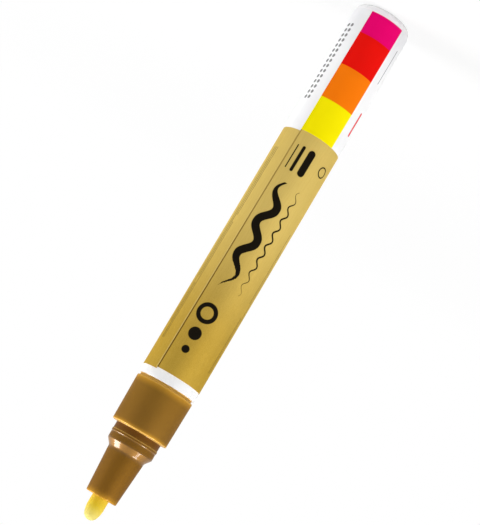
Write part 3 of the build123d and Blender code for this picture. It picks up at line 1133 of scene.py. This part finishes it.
class MARKER_OT_stage(Operator):
    """Set the floor, the lamps, the surroundings and the camera"""

    bl_idname = "marker.stage"
    bl_label = "Stage"

    def execute(self, context):
        scene, settings = context.scene, context.scene.marker_stage
        self.floor(scene, settings)
        for side in ("right", "left"):
            turn = getattr(settings, f"{side}_turn")
            self.lamp(scene, settings, f"{side}_lamp", turn, getattr(settings, f"{side}_power"))
            glint = self.lamp(scene, settings, f"{side}_glint", turn, settings.glint_power)
            glint.visible_diffuse = False
        self.surroundings(scene, settings)
        self.camera(scene, settings)
        scene.view_settings.view_transform = "Standard"
        return {"FINISHED"}

    def seen(self, finish):
        """One for rays from the camera, off glossy surfaces and through clear ones."""
        rays = ("Is Camera Ray", "Is Glossy Ray", "Is Transmission Ray")
        return union(finish.node("ShaderNodeLightPath", output=ray) for ray in rays)

    def floor(self, scene, settings):
        """A pale round floor that shows as white and keeps a soft shadow near the marker."""
        shape = bmesh.new()
        bmesh.ops.create_circle(shape, cap_ends=True, segments=96, radius=settings.floor_radius)
        mesh = bpy.data.meshes.new("floor")
        shape.to_mesh(mesh)
        shape.free()
        finish = new_finish("floor")
        x, y, _ = finish.place()
        paper = finish.ramp(finish.grain(3.0), 0.3, 0.7, high=0.05)
        tint = finish.mix(paper, FLOOR_PALE, FLOOR_SHADE)
        matt = finish.node("ShaderNodeBsdfDiffuse", inputs={"Color": tint})
        plain = finish.node("ShaderNodeEmission", inputs={"Color": WHITE, "Strength": 1.0})
        near, far = settings.shadow_radius / MM, settings.floor_radius / MM
        glow = finish.ramp(finish.distance(x, y), near, far, low=settings.floor_glow)
        both = finish.node(
            "ShaderNodeMixShader", inputs={0: self.seen(finish) * glow, 1: matt, 2: plain}
        )
        finish.node("ShaderNodeOutputMaterial", inputs={"Surface": both})
        mesh.materials.append(finish.owner)
        floor = bpy.data.objects.new("floor", mesh)
        floor.location.z = -settings.floor_drop
        scene.collection.objects.link(floor)

    def lamp(self, scene, settings, name, turn, watts):
        """A soft square panel, turned from the camera's side and raised, that faces the marker."""
        light = bpy.data.lights.new(name, "AREA")
        light.size = settings.lamp_size
        light.energy = watts
        lamp = bpy.data.objects.new(name, light)
        rise = settings.lamp_rise
        away = Vector((-sin(turn) * cos(rise), -cos(turn) * cos(rise), sin(rise)))
        lamp.location = away * settings.lamp_distance + Vector((0, 0, settings.aim_height))
        lamp.rotation_euler = away.to_track_quat("Z", "Y").to_euler()
        scene.collection.objects.link(lamp)
        return lamp

    def surroundings(self, scene, settings):
        """An even fill that shows as white behind the marker."""
        scene.world = bpy.data.worlds.new("studio")
        room = Finish(scene.world)
        strength = self.seen(room) * (1 - settings.fill) + settings.fill
        light = room.node("ShaderNodeBackground", inputs={"Color": WHITE, "Strength": strength})
        room.node("ShaderNodeOutputWorld", inputs={"Surface": light})

    def camera(self, scene, settings):
        """A long lens that looks down a little, rolled so that the nib points down and left."""
        lens = bpy.data.cameras.new("camera")
        lens.lens = settings.lens
        lens.clip_start, lens.clip_end = 0.01, 20.0
        camera = bpy.data.objects.new("camera", lens)
        place = Vector((settings.camera_side, -settings.camera_distance, settings.camera_height))
        aim = Vector((settings.camera_side, 0, settings.aim_height))
        level = (aim - place).to_track_quat("-Z", "Y").to_matrix()
        turn = Matrix.Rotation(settings.roll, 3, "Z")
        camera.matrix_world = Matrix.Translation(place) @ (level @ turn).to_4x4()
        scene.collection.objects.link(camera)
        scene.camera = camera


class MARKER_PT_pieces(Panel):
    """Lists the marker's pieces, sizes and colours"""

    bl_idname = "MARKER_PT_pieces"
    bl_label = "Paint marker"
    bl_space_type = "VIEW_3D"
    bl_region_type = "UI"
    bl_category = "Marker"

    def draw(self, context):
        for operator in OPERATORS:
            self.layout.operator(operator.bl_idname)
        for group, settings in GROUPS.items():
            box = self.layout.box()
            for name in settings.__annotations__:
                box.prop(getattr(context.scene, group), name)


OPERATORS = (
    MARKER_OT_barrel,
    MARKER_OT_label,
    MARKER_OT_front_section,
    MARKER_OT_nib,
    MARKER_OT_valve,
    MARKER_OT_valve_spring,
    MARKER_OT_mixing_ball,
    MARKER_OT_stage,
)
GROUPS = {
    "marker_sizes": MarkerSizes,
    "marker_print": MarkerPrint,
    "marker_colours": MarkerColours,
    "marker_plastic": MarkerPlastic,
    "marker_stage": MarkerStage,
}


def register():
    for group, settings in GROUPS.items():
        bpy.utils.register_class(settings)
        setattr(bpy.types.Scene, group, PointerProperty(type=settings))
    for cls in (*OPERATORS, MARKER_PT_pieces):
        bpy.utils.register_class(cls)


def unregister():
    for cls in (MARKER_PT_pieces, *reversed(OPERATORS)):
        bpy.utils.unregister_class(cls)
    for group, settings in GROUPS.items():
        delattr(bpy.types.Scene, group)
        bpy.utils.unregister_class(settings)


def main():
    register()
    bpy.ops.marker.barrel()
    bpy.ops.marker.label()
    bpy.ops.marker.front_section()
    bpy.ops.marker.nib()
    bpy.ops.marker.valve()
    bpy.ops.marker.valve_spring()
    bpy.ops.marker.mixing_ball()
    bpy.ops.marker.stage()


if __name__ == "__main__":
    main()
